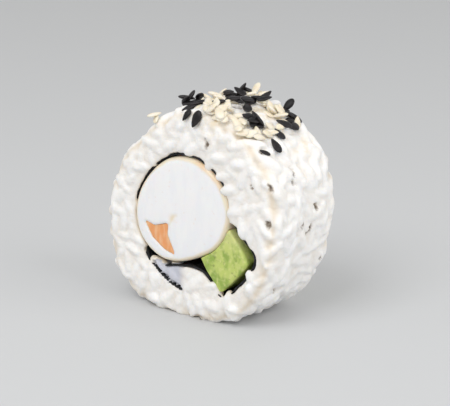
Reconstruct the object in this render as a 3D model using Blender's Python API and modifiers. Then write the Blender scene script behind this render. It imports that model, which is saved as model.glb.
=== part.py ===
"""One piece of an inside-out sushi roll, lying on its rounded side.

Rice is outside and carries sesame on its top. Inside it a sheet of nori is rolled once round, with its
ends overlapping at the lower left, and holds a curled prawn and a stick of avocado, which run through the
piece from cut to cut. X goes across the front cut, +Y from the front cut to the back one, and +Z is up.
The origin is on the table under the middle of the piece.
"""

import math
import random

import bmesh
import bpy
from mathutils import Matrix, Vector

MM = 0.001
TAU = 2 * math.pi
WELD = 0.01 * MM
SMOOTH_ANGLE = math.radians(35)

# Driving dimensions of the roll
ROLL_RADIUS = 21.6 * MM
ROLL_LENGTH = 20.2 * MM
AXIS_X = 0.2 * MM
AXIS_Y = 0.0 * MM
AXIS_HEIGHT = 19.8 * MM
RIM_ROUNDING = 2.6 * MM
OUTLINE_DROP = 0.5 * MM
OUTLINE_STEPS = 54
# How much lower than the outer size the core lies, where the grains stand out of it
FACE_RELIEF = 0.5 * MM
SIDE_RELIEF = 0.6 * MM
# The outline's waves: how many round the roll, how high as a share of the radius, and where each is highest
OUTLINE_WAVES = ((2, 0.070, 39.5), (3, 0.025, 79), (4, 0.016, 39), (5, 0.012, 17), (6, 0.006, 37))
# The flat that the roll has pressed into its underside is cut by a block under the table's surface
TABLE_DEPTH = 10 * MM

# Nori, and the gap that it and each filling keep from what is next to them
NORI_THICKNESS = 0.4 * MM
NORI_LENGTH = 18.4 * MM
NORI_STEPS = 70
GAP = 0.3 * MM
# The sheet's line in the cut, in millimetres from the roll's axis: its outer lap at the lower left, then
# round the prawn between two angles, round the avocado, and back under the prawn as the inner lap
NORI_OUTER_LAP = ((-1.0, -15.1), (-3.1, -14.6), (-5.3, -13.8), (-7.2, -12.7), (-8.9, -11.4), (-10.6, -9.9))
NORI_OFF_PRAWN = 0.78 * MM
NORI_PRAWN_ANGLES = (215, 0, 14)
NORI_ROUND_AVOCADO = (
    (11.6, 0.4), (13.0, -1.0), (14.9, -2.7), (16.2, -4.5), (15.9, -6.5), (14.2, -8.9), (12.0, -11.2),
    (10.2, -13.2), (8.9, -14.1), (7.5, -13.6), (5.4, -11.3), (3.6, -9.9),
)
NORI_INNER_LAP = ((1.2, -9.5), (-1.3, -9.7), (-3.9, -10.2), (-6.1, -10.7))
SLOT_END = 0.4 * MM
# The tongue of rice between the two laps ends past the sheet's inner end
TONGUE_TIP = ((-6.8, -10.9), (-7.5, -10.4), (-8.3, -10.2), (-8.9, -10.45))

# Prawn: its outline is a radius round its own middle with two slow waves
PRAWN_MIDDLE = (-1.8 * MM, 1.2 * MM)
PRAWN_RADIUS = 11.1 * MM
PRAWN_WAVES = ((2, 1.22 * MM, 30), (3, 0.30 * MM, -16))
PRAWN_LENGTH = 19.4 * MM
PRAWN_EDGE = 0.9 * MM
PRAWN_STEPS = 44

# The folded coral skin that shows as a three-pointed patch in the prawn, in millimetres from the axis
CORAL_POINTS = (
    (-11.1, -2.2), (-8.4, -2.9), (-4.7, -1.7), (-5.1, -4.1), (-3.0, -8.0), (-5.9, -7.3), (-9.0, -5.4),
)
CORAL_LENGTH = 19.2 * MM

# Avocado stick: four corners in millimetres from the axis, rounded, and cut to fit the prawn
AVOCADO_CORNERS = ((10.0, -0.3), (14.8, -6.2), (8.0, -13.2), (2.8, -7.1))
AVOCADO_BULGE = 0.25 * MM
AVOCADO_BULGE_PLACES = (0.3, 0.5, 0.7)
AVOCADO_CORNER_RADIUS = 0.8 * MM
AVOCADO_LENGTH = 19.0 * MM
AVOCADO_EDGE = 0.4 * MM

# Rice grains: half length, half width, half height, and how they lie and stand out of the core
GRAIN = (2.9 * MM, 1.45 * MM, 1.25 * MM)
GRAIN_SIDES = 6
GRAIN_RINGS = 3
GRAIN_COUNT = 205
GRAIN_SPACING = 3.45 * MM
GRAIN_SIZES = (0.9, 1.1)
GRAIN_TILT = 0.09
GRAIN_PROUD = (0.55 * MM, 1.05 * MM)
FACE_PROUD = (0.45 * MM, 0.80 * MM)
# Grains lie on the cuts down to this far past the middle of the rim, and clear of the nori's slot
FACE_DEPTH = 7 * MM
CAVITY_MARGIN = 0.9 * MM
# Grains on a rim lie along it, within this turn
RIM_TURN = math.radians(80)
RIM_MARGIN = 1 * MM

# Sesame seeds: half length, half width, half height, and how far one end narrows
SEED = (1.6 * MM, 0.95 * MM, 0.5 * MM)
SEED_POINT = 0.45
SEED_SIDES = 5
SEED_RINGS = 3
SEED_COUNT = 58
SEED_SPACING = 1.25 * MM
SEED_SINK = 0.2 * MM
SEED_BED = 0.35 * MM
SEED_TILT = 0.45
# Where the sesame is thrown: the middle and the spread of two bands, in degrees round the axis
SEED_BANDS = ((70, 13), (97, 7))
# Seeds that stand on end in the heap: degrees round the axis, and place along it
STANDING_SEEDS = ((89, 8.6 * MM), (63, 7.2 * MM), (104, 1.5 * MM))
STANDING_TILT = -1.2
# How wide a thing that is laid holds up the next one, as a share of its half width or half length
GRAIN_REACH = 1.4
SEED_REACH = 0.8
# How much of its half length a tilted seed is lifted by
STAND_SHARE = 0.7

BLUNTNESS = 0.75
RANDOM_SEED = 11
THROWS = 20000

# Each material: its name, colour and roughness
WHITE_RICE = ("rice_white", (0.90, 0.88, 0.84, 1.0), 0.45)
DARK_NORI = ("nori_green_black", (0.015, 0.020, 0.016, 1.0), 0.5)
PALE_PRAWN = ("prawn_white", (0.86, 0.85, 0.88, 1.0), 0.35)
CORAL_ORANGE = ("coral_orange", (0.85, 0.33, 0.12, 1.0), 0.4)
AVOCADO_GREEN = ("avocado_green", (0.45, 0.56, 0.16, 1.0), 0.4)


def clear_scene():
    """Remove whatever the scene holds."""
    for thing in list(bpy.data.objects):
        bpy.data.objects.remove(thing)


def new_collection(name):
    """Return a collection of that name, linked to the scene."""
    collection = bpy.data.collections.new(name)
    bpy.context.scene.collection.children.link(collection)
    return collection


def new_material(name, colour, roughness):
    """Return a plain material of that colour and roughness."""
    material = bpy.data.materials.new(name)
    material.use_nodes = True
    shader = material.node_tree.nodes["Principled BSDF"]
    shader.inputs["Base Color"].default_value = colour
    shader.inputs["Roughness"].default_value = roughness
    shader.inputs["Metallic"].default_value = 0.0
    return material


def flat_points(pairs):
    """Return the pairs of millimetres as flat vectors in metres."""
    return [Vector(pair) * MM for pair in pairs]


def direction(angle):
    """Return the flat unit vector at that angle, from +X towards +Z."""
    return Vector((math.cos(angle), math.sin(angle)))


def smooth_route(points, steps):
    """Return steps + 1 points, evenly spaced by length, on a smooth curve through the given ones."""
    ends = [2 * points[0] - points[1], *points, 2 * points[-1] - points[-2]]
    fine = []
    for before, start, end, after in zip(ends, ends[1:], ends[2:], ends[3:]):
        for k in range(12):
            t = k / 12
            fine.append(0.5 * (
                2 * start + (end - before) * t
                + (2 * before - 5 * start + 4 * end - after) * t ** 2
                + (3 * start - before - 3 * end + after) * t ** 3
            ))
    fine.append(points[-1])
    reach = [0.0]
    for a, b in zip(fine, fine[1:]):
        reach.append(reach[-1] + (b - a).length)
    even = []
    at = 0
    for k in range(steps + 1):
        wanted = reach[-1] * k / steps
        while at < len(fine) - 2 and reach[at + 1] < wanted:
            at += 1
        share = (wanted - reach[at]) / (reach[at + 1] - reach[at])
        even.append(fine[at].lerp(fine[at + 1], min(1.0, share)))
    return even


def offset_route(points, distance):
    """Return the route moved sideways by distance, to the left of its own direction."""
    moved = []
    for k, point in enumerate(points):
        along = (points[min(k + 1, len(points) - 1)] - points[max(k - 1, 0)]).normalized()
        moved.append(point + distance * Vector((-along.y, along.x)))
    return moved


def grown(points, distance):
    """Return the closed counter-clockwise outline moved out by that distance."""
    moved = []
    for before, point, after in zip(points[-1:] + points, points, points[1:] + points[:1]):
        one = (point - before).normalized()
        two = (after - point).normalized()
        out = Vector((one.y, -one.x)) + Vector((two.y, -two.x))
        moved.append(point + out * distance / max(0.6, out.length_squared / 2))
    return moved


def counter_clockwise(points):
    """Return the closed outline in counter-clockwise order."""
    area = sum(a.x * b.y - b.x * a.y for a, b in zip(points, points[1:] + points[:1]))
    return points if area > 0 else points[::-1]


def rounded_corner(before, corner, after, radius, steps=3):
    """Return the points of an arc that takes the corner off."""
    one = (before - corner).normalized()
    two = (after - corner).normalized()
    half = one.angle(two) / 2
    reach = radius / math.tan(half)
    middle = corner + (one + two).normalized() * radius / math.sin(half)
    start = corner + one * reach - middle
    end = corner + two * reach - middle
    turn = math.atan2(start.x * end.y - start.y * end.x, start.dot(end))
    return [middle + Matrix.Rotation(turn * k / steps, 2) @ start for k in range(steps + 1)]


def inside(point, outline):
    """Return True if the flat point is inside the closed outline."""
    hits = 0
    for a, b in zip(outline, outline[1:] + outline[:1]):
        if (a.y > point.y) != (b.y > point.y):
            hits += point.x < a.x + (b.x - a.x) * (point.y - a.y) / (b.y - a.y)
    return hits % 2 == 1


def clearance(point, outline):
    """Return how far the flat point is from the closed outline."""
    nearest = ROLL_RADIUS
    for a, b in zip(outline, outline[1:] + outline[:1]):
        edge = b - a
        share = max(0.0, min(1.0, (point - a).dot(edge) / max(edge.length_squared, 1e-12)))
        nearest = min(nearest, (a + edge * share - point).length)
    return nearest


def slab(name, points, length, edge=0.0, edge_steps=1):
    """Return a mesh object: the outline in the X-Z plane, length long across it, with rounded edges.

    It is a flat curve in X-Y that is turned up, so its extrusion runs along Y.
    """
    curve = bpy.data.curves.new(name, "CURVE")
    curve.dimensions = "2D"
    curve.fill_mode = "BOTH"
    curve.extrude = length / 2 - edge
    curve.bevel_depth = edge
    curve.bevel_resolution = edge_steps
    curve.offset = -edge
    spline = curve.splines.new("POLY")
    spline.points.add(len(points) - 1)
    spline.points.foreach_set("co", [c for p in points for c in (p.x, p.y, 0.0, 1.0)])
    spline.use_cyclic_u = True
    flat = bpy.data.objects.new(name + "_outline", curve)
    bpy.context.scene.collection.objects.link(flat)
    flat.rotation_euler = (math.pi / 2, 0, 0)
    bpy.context.view_layer.update()
    graph = bpy.context.evaluated_depsgraph_get()
    mesh = bpy.data.meshes.new_from_object(flat.evaluated_get(graph))
    mesh.transform(flat.matrix_world)
    bpy.data.objects.remove(flat)
    work = bmesh.new()
    work.from_mesh(mesh)
    bmesh.ops.remove_doubles(work, verts=work.verts, dist=WELD)
    bmesh.ops.triangulate(work, faces=work.faces)
    bmesh.ops.recalc_face_normals(work, faces=work.faces)
    work.to_mesh(mesh)
    work.free()
    mesh.name = name
    return bpy.data.objects.new(name, mesh)


def apply_modifiers(thing):
    """Make the object's evaluated mesh its own, and drop its modifiers."""
    bpy.context.view_layer.update()
    graph = bpy.context.evaluated_depsgraph_get()
    mesh = bpy.data.meshes.new_from_object(thing.evaluated_get(graph))
    thing.modifiers.clear()
    thing.data = mesh


def cut(thing, cutter):
    """Cut the cutter off the object, apply it at once, and remove the cutter."""
    scene = bpy.context.scene.collection.objects
    scene.link(thing)
    if cutter.name not in scene:
        scene.link(cutter)
    modifier = thing.modifiers.new("cut", "BOOLEAN")
    modifier.operation = "DIFFERENCE"
    modifier.solver = "EXACT"
    modifier.object = cutter
    apply_modifiers(thing)
    scene.unlink(thing)
    bpy.data.objects.remove(cutter)


def outline_point(angle, inset=0.0):
    """Return a point of the roll's outline, or inside it, at an angle round the axis, as X and Z."""
    waves = sum(share * math.cos(n * (angle - math.radians(top))) for n, share, top in OUTLINE_WAVES)
    return direction(angle) * (ROLL_RADIUS * (1 + waves) - inset) - Vector((0, OUTLINE_DROP))


def meridian(angle, reach):
    """Return the point, the normal, the direction round the roll and the lean at a place on its surface.

    The reach runs along the surface at one angle round the axis: 0 is the middle of the side, and it goes
    over a rounded rim onto a cut face, the front one where it is negative. The lean is 0 on the side and a
    right angle on a cut.
    """
    side = 1 if reach >= 0 else -1
    reach = abs(reach)
    half = ROLL_LENGTH / 2 - FACE_RELIEF
    straight = half - RIM_ROUNDING
    bend = RIM_ROUNDING * math.pi / 2
    rim = outline_point(angle, SIDE_RELIEF)
    ahead = outline_point(angle + 0.01, SIDE_RELIEF) - outline_point(angle - 0.01, SIDE_RELIEF)
    out = Vector((ahead.y, -ahead.x)).normalized()
    if reach < straight:
        lean = 0.0
        flat = rim
        y = reach
    elif reach < straight + bend:
        lean = (reach - straight) / RIM_ROUNDING
        flat = rim - out * RIM_ROUNDING * (1 - math.cos(lean))
        y = straight + RIM_ROUNDING * math.sin(lean)
    else:
        lean = math.pi / 2
        flat = rim - out * (RIM_ROUNDING + reach - straight - bend)
        y = half
    normal = Vector((out.x * math.cos(lean), side * math.sin(lean), out.y * math.cos(lean)))
    return Vector((flat.x, side * y, flat.y)), normal, Vector((-out.y, 0, out.x)), lean


def prawn_point(angle, outward=0.0):
    """Return a point of the prawn's outline, or off it, at an angle round the prawn's middle."""
    waves = sum(high * math.cos(n * (angle - math.radians(top))) for n, high, top in PRAWN_WAVES)
    return Vector(PRAWN_MIDDLE) + direction(angle) * (PRAWN_RADIUS + waves + outward)


def prawn_outline():
    """Return the prawn's outline in the cut."""
    return [prawn_point(TAU * k / PRAWN_STEPS) for k in range(PRAWN_STEPS)]


def nori_line():
    """Return the nori's middle line, from its outer end to its inner end."""
    first, last, count = NORI_PRAWN_ANGLES
    over = [math.radians(first + (last - first) * k / count) for k in range(count + 1)]
    round_prawn = [prawn_point(angle, NORI_OFF_PRAWN) for angle in over]
    rest = flat_points(NORI_ROUND_AVOCADO + NORI_INNER_LAP)
    return smooth_route(flat_points(NORI_OUTER_LAP) + round_prawn + rest, NORI_STEPS)


def cavity_outline():
    """Return the outline of all that isn't rice inside the roll: the sheet, its slot and what it holds.

    It follows the sheet's outer side the whole way, then the tongue of rice between the two laps: round
    the tongue's tip and back along the inner side of the outer lap.
    """
    half = NORI_THICKNESS / 2 + GAP
    line = nori_line()
    longer = [line[0] + (line[0] - line[1]).normalized() * SLOT_END] + line
    tip = flat_points(TONGUE_TIP)
    beside = min(range(NORI_STEPS // 3), key=lambda k: (longer[k] - tip[-1]).length)
    return offset_route(longer, half) + tip + offset_route(longer, -half)[beside - 1::-1]


def frame_on(point, normal, around, turn):
    """Return a frame on the surface: Z along its normal, X turned from the way round the roll."""
    x = around * math.cos(turn) + normal.cross(around) * math.sin(turn)
    return Matrix.Translation(point) @ Matrix((x, normal.cross(x), normal)).transposed().to_4x4()


def ellipsoid(name, half_sizes, sides, rings, narrowing=0.0):
    """Return a blunt-ended mesh like a grain, its length along X, that narrows to one end by that share."""
    work = bmesh.new()
    bmesh.ops.create_uvsphere(work, u_segments=sides, v_segments=rings, radius=1.0)
    bmesh.ops.rotate(work, verts=work.verts, matrix=Matrix.Rotation(math.pi / 2, 3, "Y"))
    for vertex in work.verts:
        narrow = 1 - narrowing * max(0.0, vertex.co.x + 0.2)
        blunt = math.copysign(abs(vertex.co.x) ** BLUNTNESS, vertex.co.x)
        vertex.co = Vector((
            blunt * half_sizes[0],
            vertex.co.y * half_sizes[1] * narrow,
            vertex.co.z * half_sizes[2],
        ))
    bmesh.ops.triangulate(work, faces=work.faces)
    bmesh.ops.recalc_face_normals(work, faces=work.faces)
    mesh = bpy.data.meshes.new(name)
    work.to_mesh(mesh)
    work.free()
    return mesh


def crowded(point, places, spacing):
    """Return True if a place that is taken lies closer to the point than the spacing."""
    return any((point - other[0]).length < spacing for other in places)


def grain_places(draw, cavity):
    """Return each grain's place, frame and how proud it is, spread evenly by throwing darts."""
    deepest = ROLL_LENGTH / 2 + FACE_DEPTH
    rim_middle = ROLL_LENGTH / 2 - FACE_RELIEF - RIM_ROUNDING * (1 - math.pi / 4)
    places = []
    for _ in range(THROWS):
        if len(places) == GRAIN_COUNT:
            break
        reach = draw.uniform(-deepest, deepest)
        point, normal, around, lean = meridian(draw.uniform(0, TAU), reach)
        if crowded(point, places, GRAIN_SPACING):
            continue
        on_rim = abs(abs(reach) - rim_middle) < RIM_ROUNDING + RIM_MARGIN
        turn = draw.uniform(-0.5, 0.5) * (RIM_TURN if on_rim else math.pi)
        proud = draw.uniform(*GRAIN_PROUD) * math.cos(lean) + draw.uniform(*FACE_PROUD) * math.sin(lean)
        flat = Vector((point.x, point.z))
        if lean > 0.9 and (inside(flat, cavity) or clearance(flat, cavity) < CAVITY_MARGIN):
            continue
        places.append((point, frame_on(point, normal, around, turn), proud))
    return places


def seed_places(draw):
    """Return each seed's place, normal, frame and tilt: the sesame lies on top of the roll."""
    half = ROLL_LENGTH / 2 - FACE_RELIEF
    places = []
    for angle, along in STANDING_SEEDS:
        point, normal, around, _ = meridian(math.radians(angle), along)
        places.append((point, normal, frame_on(point, normal, around, draw.uniform(0, TAU)), STANDING_TILT))
    for _ in range(THROWS):
        if len(places) == SEED_COUNT:
            break
        angle = math.radians(draw.gauss(*draw.choice(SEED_BANDS)))
        point, normal, around, _ = meridian(angle, draw.uniform(-half, half))
        if crowded(point, places, SEED_SPACING):
            continue
        frame = frame_on(point, normal, around, draw.uniform(0, TAU))
        places.append((point, normal, frame, draw.uniform(-SEED_TILT, SEED_TILT)))
    return places


def top_of(point, normal, laid):
    """Return how far above the bare rice the things that are laid already reach at that place."""
    height = 0.0
    for other, above, reach in laid:
        apart = point - other
        across = (apart - normal * apart.dot(normal)).length
        if across < reach:
            height = max(height, above * math.sqrt(1 - (across / reach) ** 2))
    return height


def toppings(collection, cavity):
    """Fill the collection with grains of rice and sesame seeds, each an object of its own."""
    draw = random.Random(RANDOM_SEED)
    grain = ellipsoid("grain", GRAIN, GRAIN_SIDES, GRAIN_RINGS)
    seed = ellipsoid("seed", SEED, SEED_SIDES, SEED_RINGS, SEED_POINT)
    laid = []
    for k, (point, frame, proud) in enumerate(grain_places(draw, cavity)):
        thing = bpy.data.objects.new(f"grain_{k}", grain)
        size = draw.uniform(*GRAIN_SIZES)
        lift = Matrix.Translation((0, 0, proud - GRAIN[2] * size))
        tilt = Matrix.Rotation(draw.uniform(-GRAIN_TILT, GRAIN_TILT), 4, "Y")
        thing.matrix_world = frame @ lift @ tilt @ Matrix.Scale(size, 4)
        collection.objects.link(thing)
        laid.append((point, proud, GRAIN[1] * GRAIN_REACH))
    for k, (point, normal, frame, tilt) in enumerate(seed_places(draw)):
        thing = bpy.data.objects.new(f"seed_{k}", seed)
        stand = abs(math.sin(tilt)) * SEED[0] * STAND_SHARE
        height = max(SEED_BED, top_of(point, normal, laid)) + stand - SEED_SINK
        lift = Matrix.Translation((0, 0, height))
        thing.matrix_world = frame @ lift @ Matrix.Rotation(tilt, 4, "Y")
        collection.objects.link(thing)
        laid.append((point, height + SEED[2], SEED[0] * SEED_REACH))


def keep_largest_shell(thing):
    """Drop loose scraps and fill sealed hollows, by keeping only the shell with the most points."""
    work = bmesh.new()
    work.from_mesh(thing.data)
    left = set(work.verts)
    shells = []
    while left:
        shell = set()
        edge = [left.pop()]
        while edge:
            vertex = edge.pop()
            shell.add(vertex)
            for link in vertex.link_edges:
                other = link.other_vert(vertex)
                if other in left:
                    left.discard(other)
                    edge.append(other)
        shells.append(shell)
    largest = max(shells, key=len)
    bmesh.ops.delete(work, geom=[v for v in work.verts if v not in largest], context="VERTS")
    work.to_mesh(thing.data)
    work.free()


def table_block():
    """Return a wide block whose top is the table's surface."""
    bpy.ops.mesh.primitive_cube_add(size=1, location=(0, 0, -AXIS_HEIGHT - TABLE_DEPTH / 2))
    table = bpy.context.active_object
    table.scale = (4 * ROLL_RADIUS, 4 * ROLL_RADIUS, TABLE_DEPTH)
    return table


def rice_solid():
    """Return the rice: a core with grains and sesame fused on, less the fillings' room and the table."""
    core_length = ROLL_LENGTH - 2 * FACE_RELIEF
    core_outline = [outline_point(TAU * k / OUTLINE_STEPS, SIDE_RELIEF) for k in range(OUTLINE_STEPS)]
    rice = slab("rice", core_outline, core_length, RIM_ROUNDING)
    cavity = cavity_outline()
    loose = new_collection("grains_and_sesame")
    toppings(loose, cavity)
    bpy.context.scene.collection.objects.link(rice)
    join = rice.modifiers.new("join", "BOOLEAN")
    join.operation = "UNION"
    join.operand_type = "COLLECTION"
    join.solver = "MANIFOLD"
    join.collection = loose
    apply_modifiers(rice)
    bpy.context.scene.collection.objects.unlink(rice)
    for thing in list(loose.objects):
        bpy.data.objects.remove(thing)
    bpy.data.collections.remove(loose)
    cut(rice, slab("cavity_cutter", cavity, 2 * ROLL_LENGTH))
    cut(rice, table_block())
    keep_largest_shell(rice)
    return rice


def nori_sheet():
    """Return the nori: an open strip along its line, almost as wide as the roll is long, made thick."""
    work = bmesh.new()
    verts = [work.verts.new((p.x, -NORI_LENGTH / 2, p.y)) for p in nori_line()]
    edges = [work.edges.new(pair) for pair in zip(verts, verts[1:])]
    made = bmesh.ops.extrude_edge_only(work, edges=edges)
    moved = [g for g in made["geom"] if isinstance(g, bmesh.types.BMVert)]
    bmesh.ops.translate(work, verts=moved, vec=(0, NORI_LENGTH, 0))
    mesh = bpy.data.meshes.new("nori")
    work.to_mesh(mesh)
    work.free()
    sheet = bpy.data.objects.new("nori", mesh)
    wall = sheet.modifiers.new("thickness", "SOLIDIFY")
    wall.thickness = NORI_THICKNESS
    wall.offset = 0.0
    return sheet


def prawn_solid(coral_points):
    """Return the prawn: a stout slice with soft edges, open where its coral fold runs through it."""
    prawn = slab("prawn", prawn_outline(), PRAWN_LENGTH, PRAWN_EDGE, 2)
    cut(prawn, slab("coral_cutter", grown(coral_points, GAP), 2 * PRAWN_LENGTH))
    return prawn


def avocado_solid():
    """Return the avocado: a stick with bulging sides and soft corners, cut to lie against the prawn."""
    corners = flat_points(AVOCADO_CORNERS)
    points = []
    for k, corner in enumerate(corners):
        before = corners[k - 1]
        after = corners[(k + 1) % len(corners)]
        points += rounded_corner(before, corner, after, AVOCADO_CORNER_RADIUS)
        along = after - corner
        out = Vector((-along.y, along.x)).normalized()
        for share in AVOCADO_BULGE_PLACES:
            points.append(corner.lerp(after, share) + out * AVOCADO_BULGE * (1 - (2 * share - 1) ** 2))
    avocado = slab("avocado", counter_clockwise(points), AVOCADO_LENGTH, AVOCADO_EDGE)
    cut(avocado, slab("prawn_cutter", grown(prawn_outline(), GAP), 2 * PRAWN_LENGTH))
    return avocado


def build():
    """Make the roll's pieces, hang them on its axis and dress them."""
    clear_scene()
    roll = new_collection("uramaki_roll")
    axis = bpy.data.objects.new("roll_axis", None)
    axis.location = (AXIS_X, AXIS_Y, AXIS_HEIGHT)
    roll.objects.link(axis)
    coral_points = counter_clockwise(flat_points(CORAL_POINTS))
    pieces = (
        (rice_solid(), WHITE_RICE),
        (nori_sheet(), DARK_NORI),
        (prawn_solid(coral_points), PALE_PRAWN),
        (slab("prawn_coral", coral_points, CORAL_LENGTH), CORAL_ORANGE),
        (avocado_solid(), AVOCADO_GREEN),
    )
    for piece, (name, colour, roughness) in pieces:
        roll.objects.link(piece)
        piece.parent = axis
        piece.data.materials.clear()
        piece.data.materials.append(new_material(name, colour, roughness))
        piece.data.shade_smooth()
        piece.data.set_sharp_from_angle(angle=SMOOTH_ANGLE)


build()
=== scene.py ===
"""The looks of one piece of an uramaki roll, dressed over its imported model.

The rice, the nori, the prawn, its coral flesh and the avocado each stand for the plain solid of the same
name, and the sesame lies on the rice as two pieces of its own. X goes across the front cut, +Y along the
roll's axis to the back cut, and +Z is up. Lengths are in metres.
"""

import logging
import math
import random
from collections.abc import Callable, Sequence
from dataclasses import dataclass, field
from enum import Enum

import bmesh
import bpy
import numpy as np
from mathutils import Matrix, Vector, noise
from mathutils.bvhtree import BVHTree
from mathutils.kdtree import KDTree


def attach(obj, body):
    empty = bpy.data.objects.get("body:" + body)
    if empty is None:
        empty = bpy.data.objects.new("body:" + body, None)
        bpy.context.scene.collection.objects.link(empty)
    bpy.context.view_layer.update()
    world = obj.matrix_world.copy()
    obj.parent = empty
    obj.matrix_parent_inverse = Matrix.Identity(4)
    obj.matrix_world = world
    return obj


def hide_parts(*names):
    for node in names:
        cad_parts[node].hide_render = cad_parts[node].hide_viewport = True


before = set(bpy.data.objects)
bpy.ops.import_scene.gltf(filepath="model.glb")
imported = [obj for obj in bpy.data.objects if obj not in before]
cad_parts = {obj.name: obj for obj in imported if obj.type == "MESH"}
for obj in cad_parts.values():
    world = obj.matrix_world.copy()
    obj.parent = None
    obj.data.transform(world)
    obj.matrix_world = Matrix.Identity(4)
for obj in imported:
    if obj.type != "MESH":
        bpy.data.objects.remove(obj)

MM = 0.001
TAU = 2 * math.pi
LOG = logging.getLogger("uramaki")
CURVE_STEPS = 12
RIM_STEPS = 5
TINY = 1e-12
# Numbers of a mix node's colour sockets, whose names it also gives to its other sockets.
MIX_SHARE = 0
MIX_FIRST = 6
MIX_SECOND = 7
MIX_RESULT = 2

Pair = tuple[float, float]
Triple = tuple[float, float, float]
# How many rises a wave has round an outline, how high they are and the angle of one of them in degrees.
Wave = tuple[int, float, float]
Colour = Triple


class Cut(Enum):
    """The roll's two cut faces, by the side of the middle that each lies on."""

    FRONT = -1
    BACK = 1


@dataclass(frozen=True)
class Place:
    """A place on the roll's surface: its point, its directions and how far it leans from side to cut."""

    point: Vector
    normal: Vector
    around: Vector
    lean: float

    def frame(self, turn: float) -> Matrix:
        """Return a frame there: Z along the normal, X turned from the way round the roll.

        Args:
            turn: Angle of X from the way round the roll.

        Returns:
            The frame as a matrix.
        """
        x = self.around * math.cos(turn) + self.normal.cross(self.around) * math.sin(turn)
        y = self.normal.cross(x)
        return Matrix.Translation(self.point) @ Matrix((x, y, self.normal)).transposed().to_4x4()


def smooth_route(points: Sequence[Vector], steps: int) -> list[Vector]:
    """Return points evenly spaced on a smooth curve through the given ones.

    Args:
        points: The points that the curve goes through.
        steps: How many equal stretches the curve is divided into.

    Returns:
        The steps + 1 points.
    """
    ends = [2 * points[0] - points[1], *points, 2 * points[-1] - points[-2]]
    fine = []
    for before, start, end, after in zip(ends, ends[1:], ends[2:], ends[3:]):
        for k in range(CURVE_STEPS):
            t = k / CURVE_STEPS
            fine.append(0.5 * (
                2 * start + (end - before) * t
                + (2 * before - 5 * start + 4 * end - after) * t ** 2
                + (3 * start - before - 3 * end + after) * t ** 3
            ))
    fine.append(points[-1])
    reach = [0.0]
    for a, b in zip(fine, fine[1:]):
        reach.append(reach[-1] + (b - a).length)
    even = []
    at = 0
    for k in range(steps + 1):
        wanted = reach[-1] * k / steps
        while at < len(fine) - 2 and reach[at + 1] < wanted:
            at += 1
        share = (wanted - reach[at]) / (reach[at + 1] - reach[at])
        even.append(fine[at].lerp(fine[at + 1], min(1.0, share)))
    return even


def offset_route(points: Sequence[Vector], distance: float) -> list[Vector]:
    """Return the route moved sideways.

    Args:
        points: The route's points, in order.
        distance: How far they move, to the left of the route's own direction.

    Returns:
        The moved points.
    """
    moved = []
    for k, point in enumerate(points):
        along = (points[min(k + 1, len(points) - 1)] - points[max(k - 1, 0)]).normalized()
        moved.append(point + distance * Vector((-along.y, along.x)))
    return moved


def nearest_on(point: Vector, line: Sequence[Vector]) -> float:
    """Return how far the flat point is from the open line.

    Args:
        point: The flat point.
        line: The line's points, in order.

    Returns:
        The distance.
    """
    best = math.inf
    for a, b in zip(line, line[1:]):
        edge = b - a
        share = max(0.0, min(1.0, (point - a).dot(edge) / max(edge.length_squared, TINY)))
        best = min(best, (a + edge * share - point).length)
    return best


def inside(point: Vector, outline: Sequence[Vector]) -> bool:
    """Return True if the flat point is inside the closed outline.

    Args:
        point: The flat point.
        outline: The outline's points, in order.

    Returns:
        Whether the point is inside.
    """
    hits = 0
    for a, b in zip(outline, [*outline[1:], outline[0]]):
        if (a.y > point.y) != (b.y > point.y):
            hits += point.x < a.x + (b.x - a.x) * (point.y - a.y) / (b.y - a.y)
    return hits % 2 == 1


def smoothstep(value: float, low: float, high: float) -> float:
    """Return 0 under low, 1 over high, and a smooth rise between them."""
    t = max(0.0, min(1.0, (value - low) / (high - low)))
    return t * t * (3 - 2 * t)


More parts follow.
